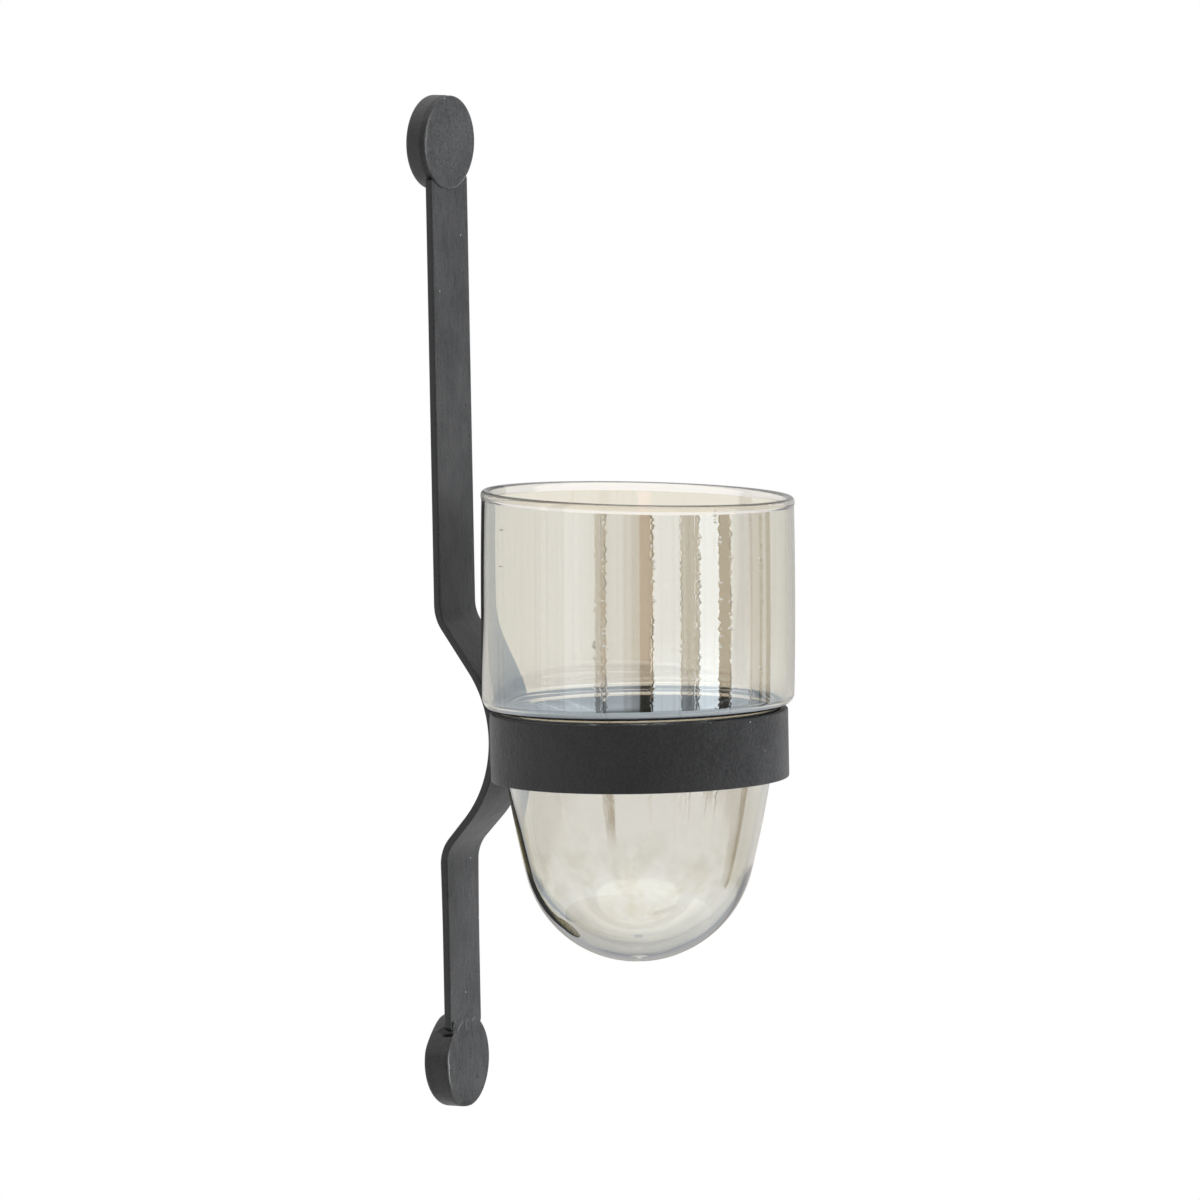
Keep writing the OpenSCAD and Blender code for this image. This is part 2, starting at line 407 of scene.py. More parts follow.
def path_length(corners, radii):
    """Length of a line whose corners are rounded."""
    length = sum((b - a).length for a, b in zip(corners, corners[1:]))
    for before, corner, after, radius in zip(corners, corners[1:], corners[2:], radii[1:]):
        angle = (corner - before).angle(after - corner)
        length += radius * (angle - 2 * math.tan(angle / 2))
    return length


def grid_rim(grid):
    """The corners round the edge of a grid, in order."""
    return ([row[0] for row in grid] + grid[-1][1:]
            + [row[-1] for row in reversed(grid[:-1])] + grid[0][-2:0:-1])


def flat_bar(length):
    """The bar before it is bent, lying along -z, with rounded corners and softened edges."""
    row_step = 0.001
    corner_steps = 10
    columns = [-1, -0.9, -0.6, -0.2, 0.2, 0.6, 0.9, 1]
    turns = [math.pi / 2 * step / corner_steps for step in range(corner_steps)]
    ends = [(strap_corner_r * (1 - math.cos(t)), bar_w / 2 - strap_corner_r * (1 - math.sin(t)))
            for t in turns]
    straight = length - 2 * strap_corner_r
    count = round(straight / row_step)
    middle = [(strap_corner_r + straight * i / count, bar_w / 2) for i in range(count + 1)]
    rows = ends + middle + [(length - s, half) for s, half in reversed(ends)]
    mesh = bmesh.new()
    front, back = [[[mesh.verts.new((half * c, depth, -s)) for c in columns] for s, half in rows]
                   for depth in (-bar_t / 2, bar_t / 2)]
    for grid, flip in ((front, False), (back, True)):
        for row, below in zip(grid, grid[1:]):
            for i in range(len(columns) - 1):
                corners = [row[i], below[i], below[i + 1], row[i + 1]]
                mesh.faces.new(reversed(corners) if flip else corners)
    rim, rim_back = grid_rim(front), grid_rim(back)
    for i in range(len(rim)):
        j = (i + 1) % len(rim)
        mesh.faces.new((rim[i], rim_back[i], rim_back[j], rim[j]))
    mesh.normal_update()
    sharp = [edge for edge in mesh.edges if edge.calc_face_angle(0) > math.radians(60)]
    bmesh.ops.bevel(mesh, geom=sharp, offset=bar_edge_r, segments=4, profile=0.5, affect="EDGES")
    return mesh


def smooth_faces(piece, angle=35):
    """Shades a piece smooth, except across edges sharper than the angle, in degrees."""
    piece.data.shade_smooth()
    piece.data.set_sharp_from_angle(angle=math.radians(angle))


paint_thick = (0.013, 0.0135, 0.015)
paint_thin = (0.045, 0.046, 0.048)
speck_grey = 0.34
pit_grey = 0.012
# The paler grey of a painted highlight
highlight_grey = 0.3
mark_cover = 0.7
relief_depth = 0.00018


def matt_paint(name, streak=(1, 1, 1), roughcast=1.0, worn=False, shade_tone=1.0, ior=1.6, dry=1.0):
    """Matt black paint on iron: a dry grain, faint drags along the bar, small pits and pale specks, with
    painted highlights and painted shade where asked.
    """
    paint, graph = new_material(name)
    place = graph.node("ShaderNodeTexCoord", output="Object")
    along = graph.node("ShaderNodeMapping", {"Vector": place, "Scale": streak})
    grain = graph.noise(place, 1500.0, 3.0, 0.65)
    drag = graph.noise(along, 700.0, 3.0, 0.6)
    broad = graph.noise(place, 80.0, 3.0)
    spots = graph.node("ShaderNodeTexVoronoi", {"Vector": place, "Scale": 300.0, "Randomness": 1.0},
                       "Distance")
    chance = graph.node("ShaderNodeTexWhiteNoise", {"Vector": spots.also("Position")}, "Value")
    round_spot = 1 - graph.smooth(spots, 0.05, 0.12)
    speck = round_spot * graph.smooth(chance, 0.91, 0.95)
    pit = round_spot * (1 - graph.smooth(chance, 0.1, 0.11))
    shade = graph.smooth(grain * 0.45 + drag * 0.3 + broad * 0.25, 0.36, 0.64)
    # shade_tone darkens one part's whole copy of the paint: painted shade, for parts that lie darker in the
    # light
    thick, thin = [[part * shade_tone for part in colour] + [1] for colour in (paint_thick, paint_thin)]
    black = graph.blend(shade, thick, thin)
    black = graph.blend(speck * mark_cover, black, grey(speck_grey))
    black = graph.blend(pit * mark_cover, black, grey(pit_grey))
    rough = 0.42 + (drag - 0.5) * 0.2 + (grain - 0.5) * 0.2
    # Paler paint where a piece marks it: a painted highlight on rims, ridges and folds
    if worn:
        highlit = graph.node("ShaderNodeAttribute", output="Fac", attribute_name="worn")
        black = graph.blend(highlit * (0.4 + grain * 1.2), black, grey(highlight_grey))
    relief = grain * 0.35 + drag * 0.35 + broad * 1.3 * roughcast + speck * 0.4 - pit * 0.8
    bump = graph.node("ShaderNodeBump", {"Height": relief, "Strength": 1.0, "Distance": relief_depth * dry})
    surface = graph.node("ShaderNodeBsdfPrincipled",
                         {"Base Color": black, "Roughness": rough, "Normal": bump, "IOR": ior})
    graph.node("ShaderNodeOutputMaterial", {0: surface})
    return paint


strap_corners = strap_path()
strap_radii = [0.0, foot_r, crest_r, foot_r, 0.0]
strap_length = path_length(strap_corners, strap_radii)
strap_flat = new_object("strap_flat", flat_bar(strap_length))
strap_paint = matt_paint("strap_paint", streak=(1, 1, 0.25), shade_tone=0.88, ior=1.56, dry=2.2)
bend_places = ("Upper End", "Upper Foot", "Crest", "Lower Foot", "Lower End")
bend_sizes = ("Foot Radius", "Crest Radius", "Twist", "Twist Start", "Twist End")


def start_tree(name, shape, places, sizes):
    """A Geometry Nodes tree, and its named inputs: the shape that it starts from, places and sizes."""
    graph = Graph(bpy.data.node_groups.new(name, "GeometryNodeTree"))
    kinds = {shape: "Geometry"} | dict.fromkeys(places, "Vector") | dict.fromkeys(sizes, "Float")
    for title, kind in kinds.items():
        graph.tree.interface.new_socket(title, in_out="INPUT", socket_type="NodeSocket" + kind)
    given = graph.node("NodeGroupInput")
    return graph, {title: given.also(title) for title in kinds}


def end_tree(graph, shape, name, paint):
    """Ends a tree in plain geometry with its material."""
    graph.tree.interface.new_socket(name, in_out="OUTPUT", socket_type="NodeSocketGeometry")
    shape = graph.node("GeometryNodeRealizeInstances", {0: shape})
    shape = graph.node("GeometryNodeSetMaterial", {0: shape, "Material": paint})
    graph.node("NodeGroupOutput", {0: shape})
    return graph.tree


def pick(graph, kind, choices):
    """Gives the first point the first choice, the second point the second, and so on."""
    chooser = graph.tree.nodes.new("GeometryNodeIndexSwitch")
    chooser.data_type = kind
    for _ in choices[2:]:
        chooser.index_switch_items.new()
    graph.feed(chooser.inputs["Index"], graph.node("GeometryNodeInputIndex"))
    for place, choice in enumerate(choices):
        graph.feed(chooser.inputs[place + 1], choice)
    return Link(graph, chooser.outputs[0])


def bend_tree(paint):
    """Geometry nodes that bend a flat bar along a line with rounded corners."""
    graph, given = start_tree("bend_bar", "Bar", bend_places, bend_sizes)
    foot, crest = given["Foot Radius"], given["Crest Radius"]
    corner = pick(graph, "VECTOR", [given[name] for name in bend_places])
    rounding = pick(graph, "FLOAT", [0.0, foot, crest, foot, 0.0])
    corners = graph.node("GeometryNodePoints", {"Count": len(bend_places), "Position": corner})
    line = graph.node("GeometryNodePointsToCurves", {0: corners})
    line = graph.node("GeometryNodeFilletCurve", {"Curve": line, "Count": 60, "Radius": rounding},
                      mode="POLY")
    across = graph.node("ShaderNodeSeparateXYZ", {0: graph.node("GeometryNodeInputPosition")})
    down = 0 - across.also("Z")
    found = graph.node("GeometryNodeSampleCurve", {"Curves": line, "Length": down}, "Position",
                       mode="LENGTH")
    way = found.also("Tangent")
    sideways = graph.node("ShaderNodeCombineXYZ", {"X": across})
    outward = graph.scale(graph.vector("CROSS_PRODUCT", way, (-1, 0, 0)), across.also("Y"))
    aside = graph.vector("ADD", sideways, outward)
    twist = graph.smooth(down, given["Twist Start"], given["Twist End"]) * given["Twist"]
    aside = graph.node("ShaderNodeVectorRotate", {"Vector": aside, "Axis": way, "Angle": 0 - twist})
    moved = graph.vector("ADD", found, aside)
    bent = graph.node("GeometryNodeSetPosition", {0: given["Bar"], "Position": moved})
    return end_tree(graph, bent, "Bent Bar", paint)


def finished_mesh(piece):
    """A plain mesh of the shape that a piece's modifiers give it."""
    bpy.context.view_layer.update()
    shaped = piece.evaluated_get(bpy.context.evaluated_depsgraph_get())
    return bpy.data.meshes.new_from_object(shaped)


def run_nodes(piece, tree, values):
    """Runs a geometry node tree on a piece with its named inputs and gives back the plain mesh."""
    modifier = piece.modifiers.new("shape", "NODES")
    modifier.node_group = tree
    sockets = {item.name: item.identifier for item in tree.interface.items_tree if item.in_out == "INPUT"}
    for name, value in values.items():
        modifier[sockets[name]] = value
    mesh = finished_mesh(piece)
    bpy.data.objects.remove(piece)
    return mesh


strap_sizes = dict(zip(bend_places, strap_corners))
strap_sizes |= {"Foot Radius": foot_r, "Crest Radius": crest_r, "Twist": lower_twist,
                "Twist Start": strap_length * twist_start, "Twist End": strap_length * twist_end}
strap = new_object("painted_strap", run_nodes(strap_flat, bend_tree(strap_paint), strap_sizes))
smooth_faces(strap)
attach(strap, "bracket")
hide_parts("wall_strap")


# Wall discs
# Two thick iron buttons whose flat backs stand on the wall. The upper one is turned, with a soft
# lip round its face and a shallow waist behind it, and hangs on the keyhole in its back.
upper_low, upper_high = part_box("upper_disc")
disc_r = (upper_high.x - upper_low.x) / 2
disc_t = upper_high.y - upper_low.y
back_round = 0.0013
lip_round = 0.0006
lip_step = 0.0001
waist_back = 0.0013
waist_w = 0.0006
waist_depth = 0.00055
face_crown = 0.00008


def arc(middle, radius, start, end, steps):
    """Points along an arc in a half-section's plane, angles in degrees from the outward way."""
    turns = [math.radians(start + (end - start) * i / steps) for i in range(steps + 1)]
    return [(middle[0] + radius * math.cos(t), middle[1] + radius * math.sin(t)) for t in turns]


def swell(value, middle, width):
    """1 at the middle, falling softly to 0 beyond the width."""
    return math.exp(-((value - middle) / width) ** 2)


def upper_disc_outline():
    """Half-section of the upper disc as radius and height above the wall, from its back to its face."""
    side_steps = 40
    face_steps = 16
    back = arc((disc_r - back_round, back_round), back_round, -90, 0, 10)
    lip_r = disc_r - lip_step
    lip = arc((lip_r - lip_round, disc_t - lip_round - face_crown), lip_round, 0, 90, 12)
    side = []
    for step in range(1, side_steps):
        rise = back_round + (disc_t - lip_round - face_crown - back_round) * step / side_steps
        hollow = waist_depth * swell(disc_t - rise, waist_back, waist_w)
        ahead = max(0.0, 1 - (disc_t - rise) / waist_back)
        side.append((disc_r - hollow - lip_step * ahead, rise))
    inward = [1 - step / face_steps for step in range(1, face_steps + 1)]
    face = [((lip_r - lip_round) * share, disc_t - face_crown * share ** 2) for share in inward]
    return [(0.0, 0.0), (disc_r / 2, 0.0)] + back + side + lip + face


def turned_rings(mesh, outline, steps, place):
    """A ring of corners for each point of a half-section, or one corner for a point on the axis."""
    on_axis = 1e-7
    rings = []
    for radius, rise in outline:
        turns = [math.tau * i / steps for i in range(1 if radius < on_axis else steps)]
        rings.append([mesh.verts.new(place(radius * math.cos(t), radius * math.sin(t), rise))
                      for t in turns])
    return rings


def turn_on_wall(outline, middle, steps):
    """Turns a half-section of radius and height above the wall about an axis that points off the wall."""
    mesh = bmesh.new()
    rings = turned_rings(mesh, outline, steps, lambda x, z, rise: (middle.x + x, -rise, middle.z + z))
    for here, there in zip(rings, rings[1:]):
        for i in range(steps):
            j = (i + 1) % steps
            corners = (here[i % len(here)], here[j % len(here)],
                       there[j % len(there)], there[i % len(there)])
            mesh.faces.new(dict.fromkeys(corners))
    bmesh.ops.recalc_face_normals(mesh, faces=mesh.faces)
    return mesh


keyhole_entry_r = 0.00425
keyhole_slot_r = 0.00225
keyhole_drop = 0.005
keyhole_lip = 0.0016
keyhole_depth = 0.0046
below_wall = -0.001
slot_steps = 24
upper_steps = 192


def block_off_wall(rim, near, far):
    """A block with a rim of points x and z, between two distances from the wall."""
    mesh = bmesh.new()
    near_face = mesh.faces.new([mesh.verts.new((x, -near, z)) for x, z in rim])
    grown = bmesh.ops.extrude_face_region(mesh, geom=[near_face])["geom"]
    for vert in grown:
        if isinstance(vert, bmesh.types.BMVert):
            vert.co.y = -far
    bmesh.ops.recalc_face_normals(mesh, faces=mesh.faces)
    return mesh


def slot_cutter(radius, rise, near, far):
    """A slot-shaped tool as long as the disc's drop, between two distances from the wall."""
    turns = [math.pi * i / slot_steps for i in range(slot_steps + 1)]
    rim = [(radius * math.cos(t), rise + radius * math.sin(t)) for t in turns]
    rim += [(-radius * math.cos(t), -radius * math.sin(t)) for t in turns]
    return new_object("slot_cutter", block_off_wall(dict.fromkeys(rim), near, far))


def keep_shape(piece):
    """Turns what a piece's modifiers make of it into its own mesh."""
    mesh = finished_mesh(piece)
    piece.modifiers.clear()
    piece.data = mesh


def cut_away(piece, cutters):
    """Cuts tools out of a piece and removes them."""
    for cutter in cutters:
        modifier = piece.modifiers.new("cut", "BOOLEAN")
        modifier.object = cutter
        modifier.solver = "EXACT"
    keep_shape(piece)
    for cutter in cutters:
        bpy.data.objects.remove(cutter)


# Where a highlight is painted on the upper rim's lip: place and width in degrees, and how much
highlight_stretches = [(172, 30, 0.95), (-52, 22, 0.8)]
highlight_w = 0.0003
highlight_inset = 0.0002


def paint_rim_highlight(mesh, middle, radius, stretches):
    """Marks a painted highlight, paler paint on a disc's rim, on stretches of place, width and amount."""
    layer = mesh.attributes.new("worn", "FLOAT", "POINT")
    for vert, mark in zip(mesh.vertices, layer.data):
        offset = vert.co - middle
        near = swell(math.hypot(offset.x, offset.z), radius, highlight_w)
        near *= swell(-offset.y, disc_t - highlight_inset, highlight_w)
        place = math.degrees(math.atan2(offset.z, offset.x))
        mark.value = near * sum(amount * swell((place - at + 180) % 360 - 180, 0, width)
                                for at, width, amount in stretches)


disc_paint = matt_paint("disc_paint", streak=(1, 1, 0.8), worn=True, dry=2.6)
upper_middle = Vector((0, 0, 0))
upper = new_object("painted_upper_disc", turn_on_wall(upper_disc_outline(), upper_middle, upper_steps))
cut_away(upper, [slot_cutter(keyhole_entry_r, 0.0, below_wall, keyhole_depth),
                 slot_cutter(keyhole_slot_r, keyhole_drop, below_wall, keyhole_depth),
                 slot_cutter(keyhole_entry_r, keyhole_drop, keyhole_lip, keyhole_depth)])
upper.data.materials.append(disc_paint)
smooth_faces(upper, 30)
paint_rim_highlight(upper.data, upper_middle, disc_r - lip_step - lip_round * 0.3, highlight_stretches)
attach(upper, "bracket")
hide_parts("upper_disc")


# Lower disc
# The same button, but forged onto the strap: its face runs out into the bar with folds and creases,
# the metal is drawn up beside the bar in hollow corners, and only part of its rim stands as an edge.
lower_low, lower_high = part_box("lower_disc")
lower_middle = Vector((0, 0, (lower_low.z + lower_high.z) / 2))
lower_edge_round = 0.0005
face_turn = math.radians(5)
lower_steps = 160
forged_voxel = 0.00024

# The left corner is drawn up in layers, each more open and further off the wall than the last
fill_layers = 6
left_fill_r = 0.0005
left_fill_opens = 0.0065
left_fill_back = 0.0014
left_fill_rises = 0.003
left_fill_sink = 0.0012
right_fill_r = 0.0015
right_fill_back = 0.004
right_fill_sink = 0.0014
fill_overlap = 0.002


def lower_disc_outline():
    """Half-section of the lower disc as radius and height above the wall, from its back to its face."""
    back = arc((disc_r - back_round, back_round), back_round, -90, 0, 10)
    edge = arc((disc_r - lower_edge_round, disc_t - lower_edge_round), lower_edge_round, 0, 90, 8)
    face_steps = 10
    face = [(edge[-1][0] * (1 - step / face_steps), disc_t) for step in range(1, face_steps + 1)]
    return [(0.0, 0.0), (disc_r / 2, 0.0)] + back + edge + face


def corner_fill(side, radius, near, far):
    """The metal drawn up in the corner between the bar's edge and the disc, hollow on its outside."""
    arc_steps = 16
    reach = disc_r + radius
    middle_x = bar_w / 2 + radius
    middle_z = math.sqrt(reach ** 2 - middle_x ** 2)
    low = math.atan2(-middle_z, -middle_x)
    turns = [math.pi + (low + math.tau - math.pi) * i / arc_steps for i in range(arc_steps + 1)]
    rim = [(middle_x + radius * math.cos(t), middle_z + radius * math.sin(t)) for t in turns]
    in_bar = bar_w / 2 - fill_overlap
    in_disc_z = middle_z * 0.4
    rim += [(disc_r * 0.6, in_disc_z), (in_bar, in_disc_z), (in_bar, middle_z)]
    return block_off_wall([(side * x, lower_middle.z + z) for x, z in rim], near, far)


# Rolled folds where the face runs into the bar: radius and points of x, rise and z in millimetres
folds = [(0.36, [(-9.2, 6.95, 8.2), (-6.4, 7.1, 9.2), (-4.6, 7.1, 10.4), (-2.6, 7.0, 11.5)]),
         (0.32, [(0.3, 6.95, 9.0), (-0.6, 7.1, 10.6), (0.5, 7.0, 12.0)]),
         (0.3, [(2.9, 7.1, 11.1), (5.8, 7.0, 11.8)]),
         (0.34, [(-9.4, 7.2, 11.4), (-9.2, 7.35, 12.7), (-8.0, 7.35, 13.1), (-7.4, 7.2, 12.2)])]
fold_steps = 6


def fold_roll(points, radius):
    """A rolled fold of metal along a line of points x, rise and z in millimetres from the disc's middle."""
    mesh = bmesh.new()
    for start, end in zip(points, points[1:]):
        for step in range(fold_steps):
            x, rise, z = [a + (b - a) * step / fold_steps for a, b in zip(start, end)]
            spot = Matrix.Translation((x / 1000, -rise / 1000, lower_middle.z + z / 1000))
            bmesh.ops.create_icosphere(mesh, subdivisions=2, radius=radius / 1000, matrix=spot)
    return mesh


def fold_reach(x, z):
    """How near a place on the face is to the crest of the nearest fold, from 0 to 1."""
    nearest = math.inf
    for _, points in folds:
        for start, end in zip(points, points[1:]):
            run = Vector((end[0] - start[0], end[2] - start[2]))
            off = Vector((x - start[0], z - start[2]))
            share = min(1.0, max(0.0, off.dot(run) / run.length_squared))
            nearest = min(nearest, (off - run * share).length)
    return swell(nearest, 0.0, 0.3)


def step_up(value, low, high):
    """0 below low, 1 above high and a soft step between them."""
    share = min(1.0, max(0.0, (value - low) / (high - low)))
    return share * share * (3 - 2 * share)


lower_disc_mesh = turn_on_wall(lower_disc_outline(), lower_middle, lower_steps)
fills = [corner_fill(-1, left_fill_r + left_fill_opens * layer / fill_layers,
                     left_fill_back + left_fill_rises * layer / fill_layers, disc_t - left_fill_sink)
         for layer in range(fill_layers + 1)]
fills.append(corner_fill(1, right_fill_r, right_fill_back, disc_t - right_fill_sink))
fills += [fold_roll(points, radius) for radius, points in folds]
for fill in fills:
    filled = bpy.data.meshes.new("fill")
    fill.to_mesh(filled)
    fill.free()
    lower_disc_mesh.from_mesh(filled)
lower = new_object("painted_lower_disc", lower_disc_mesh)
remesh = lower.modifiers.new("forged", "REMESH")
remesh.mode = "VOXEL"
remesh.voxel_size = forged_voxel
soften = lower.modifiers.new("softened", "SMOOTH")
soften.factor = 0.5
soften.iterations = 4
keep_shape(lower)
forged = lower.data

# Marks of the hammer, in millimetres from the disc's middle: x to the right, z up and the rise off
# the wall. A pair is where a mark begins and where it is full.
turned_rise = (1.5, 7.0)
face_rise = (5.6, 6.9)
sunk_z = (5.5, 11.0)
sink = 0.55
left_x = (5.0, 7.0)
left_rise = (4.5, 5.7)
crease_pull = 0.09
beaten_way = (-0.74, 0.67)
beaten_reach = (11.6, 14.2)
beaten_pull = 0.075
rounded_reach = (10.5, 13.9)
rounded_z = (6.0, 12.5)
rounded_x = (-2.5, 4.5)
rounded_rise = (3.0, 7.2)
ridge_r = 13.2
ridge_w = 0.32
ridge_x = (9.0, 11.5)
ridge_height = 0.3
# Paler paint near the crests of the folds above a height and a rise: a painted highlight
fold_highlight = 0.16
fold_highlight_z = 7
fold_highlight_rise = 6.0

# The ridge's and its notch's middle z and reach. Creases in the side as z, how it changes with the
# rise above a height, and width. Dents in the face as depth, x, width, z and height.
ridge_z = (-1.0, 4.2)
notch_z = (-0.6, 0.7)
notch_depth = 0.35
creases = [(11.1, -0.12, 0.3), (8.9, 0.15, 0.36)]
crease_rise = 5
dents = [(0.3, 5.2, 0.5, -5.6, 0.6), (0.5, 2.8, 0.5, 11.0, 0.8)]

highlit = []
for vert in forged.vertices:
    x = vert.co.x * 1000
    z = (vert.co.z - lower_middle.z) * 1000
    rise = -vert.co.y * 1000
    out = math.hypot(x, z)
    rise -= math.tan(face_turn) * x * step_up(rise, *turned_rise)
    on_face = step_up(rise, *face_rise)
    rise -= sink * on_face * step_up(z, *sunk_z)
    on_left = step_up(-x, *left_x) * step_up(rise, *left_rise)
    crease = sum(swell(z, height + slope * (rise - crease_rise), width) for height, slope, width in creases)
    beaten = step_up(beaten_way[0] * x + beaten_way[1] * z, *beaten_reach)
    pull = 1 - crease_pull * crease * on_left - beaten_pull * beaten
    rounded = step_up(out, *rounded_reach) * step_up(-z, *rounded_z) * step_up(-x, *rounded_x)
    rise -= rounded * step_up(rise, *rounded_rise)
    ridge = swell(out, ridge_r - notch_depth * swell(z, *notch_z), ridge_w)
    ridge *= step_up(-x, *ridge_x) * swell(z, *ridge_z) * on_face
    rise += ridge_height * ridge
    # Paler paint on the ridge and near the fold crests: a painted highlight, beside the ridge's real rise
    on_fold = z > fold_highlight_z and rise > fold_highlight_rise
    highlit.append(ridge + (fold_highlight * fold_reach(x, z) if on_fold else 0.0))
    dent = sum(depth * swell(x, at_x, wide) * swell(z, at_z, tall) for depth, at_x, wide, at_z, tall in dents)
    rise -= dent * on_face
    vert.co = Vector((x * pull / 1000, -rise / 1000, lower_middle.z + z * pull / 1000))
forged.attributes.new("worn", "FLOAT", "POINT").data.foreach_set("value", highlit)
forged_paint = matt_paint("forged_paint", streak=(1, 1, 0.3), roughcast=1.8, worn=True, shade_tone=0.84,
                          ior=1.52, dry=2.2)
lower.data.materials.append(forged_paint)
lower.data.shade_smooth()
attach(lower, "bracket")
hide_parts("lower_disc", "lower_weld")


# Ring welds
# Two short upright beads behind the ring that join it to the edges of the strap's crest. They are
# laid by hand, where hardly anyone sees them, and are painted with the rest.


def merged_copy(node, name):
    """A piece with a CAD node's own shape and shared corners, so that it can be shaded smooth."""
    mesh = bmesh.new()
    mesh.from_mesh(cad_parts[node].data)
    bmesh.ops.remove_doubles(mesh, verts=mesh.verts, dist=1e-6)
    made = new_object(name, mesh)
    made.data.materials.clear()
    return made


ring_weld = merged_copy("ring_welds", "painted_ring_welds")
ring_weld.data.materials.append(matt_paint("weld_paint", roughcast=2.0))
smooth_faces(ring_weld, 40)
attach(ring_weld, "bracket")
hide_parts("ring_welds")


# Holder ring
# A band rolled from the same flat bar, with softened edges, welded to the crest of the bow. The
# cup hangs in it, seated on its upper inner edge. It is painted as the strap is, made darker still as painted
# shade.
ring_paint = matt_paint("ring_paint", shade_tone=0.78, ior=1.5, dry=4.5)
ring_r = (ring_high.x - ring_low.x) / 2
ring_mid = (ring_low + ring_high) / 2


def band_tree(paint):
    """Geometry nodes that roll a flat bar with rounded edges into a closed band."""
    graph, given = start_tree("roll_band", "Band", ["Middle"],
                              ["Outer Radius", "Thickness", "Height", "Edge Radius"])
    thick = given["Thickness"]
    circle = graph.node("GeometryNodeCurvePrimitiveCircle",
                        {"Resolution": 360, "Radius": given["Outer Radius"] - thick / 2})
    section = graph.node("GeometryNodeCurvePrimitiveQuadrilateral",
                         {"Width": thick, "Height": given["Height"]})
    section = graph.node("GeometryNodeFilletCurve",
                         {"Curve": section, "Count": 5, "Radius": given["Edge Radius"]}, mode="POLY")
    band = graph.node("GeometryNodeCurveToMesh", {"Curve": circle, "Profile Curve": section})
    band = graph.node("GeometryNodeTransform", {"Geometry": band, "Translation": given["Middle"]})
    return end_tree(graph, band, "Rolled Band", paint)


ring_start = new_object("ring_start", bpy.data.meshes.new("ring_start"))
ring_sizes = {"Outer Radius": ring_r, "Thickness": bar_t, "Height": ring_high.z - ring_low.z,
              "Edge Radius": bar_edge_r, "Middle": ring_mid}
ring = new_object("painted_ring", run_nodes(ring_start, band_tree(ring_paint), ring_sizes))
smooth_faces(ring)
ring.modifiers.new("weighted_normals", "WEIGHTED_NORMAL").keep_sharp = True
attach(ring, "bracket")
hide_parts("holder_ring")


# Glass cup
# Mouth-blown glass with a fire-polished rim, open from the rim down to its round bottom. A thin
# metal-oxide lustre on the outside mirrors a bluish silver and lets amber light through.
cup_low, cup_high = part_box("glass_cup")
glass_t = 0.0019
glass_bottom_t = 0.0042
rim_half_w = 0.00115
rim_half_h = 0.0016
rim_proud = 0.0003
rim_blend = 20000
rim_foot = 0.0015
clear_rim = 0.0027
barrel = 0.00035
lower_corner_r = 0.0033
shoulder_lift = 0.0012
neck_r = 0.0008
ledge_r = 0.0016
ledge_t = 0.0018
inner_corner_r = 0.0011
seat_gap = 0.0002
body_taper = 0.0073
bottom_turn = math.radians(14)
cup_lean = 0.0149
seat_shift = -0.00015
rim_slope = 0.041
rim_front_lift = 0.0143
level_front_way = Vector(level_front)
cup_r = (cup_high.x - cup_low.x) / 2
cup_axis = (cup_low + cup_high) / 2
rim_z = cup_high.z
shoulder_z = ring_high.z + shoulder_lift


def body_side(inset, lowest):
    """The body's side arc and round bottom for a wall inset from the outside."""
    seat_r = ring_r - bar_t - seat_gap
    bottom_r = seat_r - body_taper
    bottom_z = cup_low.z + bottom_r
    way = (math.cos(bottom_turn), -math.sin(bottom_turn))
    seat = (seat_r, ring_high.z - bottom_z)
    along = seat[0] * way[0] + seat[1] * way[1]
    side_r = (seat[0] ** 2 + seat[1] ** 2 + bottom_r ** 2 - 2 * bottom_r * along) / (2 * (bottom_r - along))
    centre = (-(side_r - bottom_r) * way[0], bottom_z - (side_r - bottom_r) * way[1])
    side = side_r - inset
    low = cup_low.z + lowest
    hang = low - centre[1]
    round_r = (side ** 2 - centre[0] ** 2 - hang ** 2) / (2 * (side + hang))
    turn_z = centre[1] + (low + round_r - centre[1]) * side / (side - round_r)
    return centre, side, low + round_r, round_r, turn_z


def body_outline(inset, lowest, top, steps):
    """Points of the body from height top down to the middle of its bottom."""
    centre, side, round_z, round_r, turn_z = body_side(inset, lowest)
    start = math.degrees(math.asin((top - centre[1]) / side))
    end = math.degrees(math.asin((turn_z - centre[1]) / side))
    points = arc(centre, side, start, end, steps)
    start = math.degrees(math.asin((turn_z - round_z) / round_r))
    return points[:-1] + arc((0, round_z), round_r, start, -90, steps)


def wall_radius(height):
    """Outer radius of the upper part, whose wall is barrelled a little between shoulder and rim."""
    middle = (rim_z + shoulder_z) / 2
    return cup_r - barrel * ((height - middle) / (rim_z - middle)) ** 2


wall_rows = 24
body_rows = 36
bead_rows = 32
foot_rows = 8
cup_steps = 288
barrel_turn = math.degrees(math.atan(4 * barrel / (rim_z - shoulder_z)))


def rim_bead(side):
    """The fire-polished rim from its top down to the plain wall, on the outside (1) or the inside (-1)."""
    depths = [rim_half_h * (1 - math.cos(math.pi * i / bead_rows)) for i in range(bead_rows + 1)]
    depths += [2 * rim_half_h + rim_foot * i / foot_rows for i in range(1, foot_rows + 1)]
    middle = wall_radius(rim_z) + rim_proud - rim_half_w
    points = []
    for depth in depths:
        height = rim_z - depth
        half = rim_half_w * math.sqrt(max(0.0, 1 - (depth / rim_half_h - 1) ** 2))
        if depth > rim_half_h:
            wall = (wall_radius(height) - middle) * side + (0 if side > 0 else glass_t)
            half = math.log(math.exp(half * rim_blend) + math.exp(wall * rim_blend)) / rim_blend
        points.append((middle + side * half, height))
    return points


def wall_line(top, bottom, inset, steps):
    """Points down the barrelled wall, without its ends."""
    heights = [top + (bottom - top) * i / steps for i in range(1, steps)]
    return [(wall_radius(height) - inset, height) for height in heights]


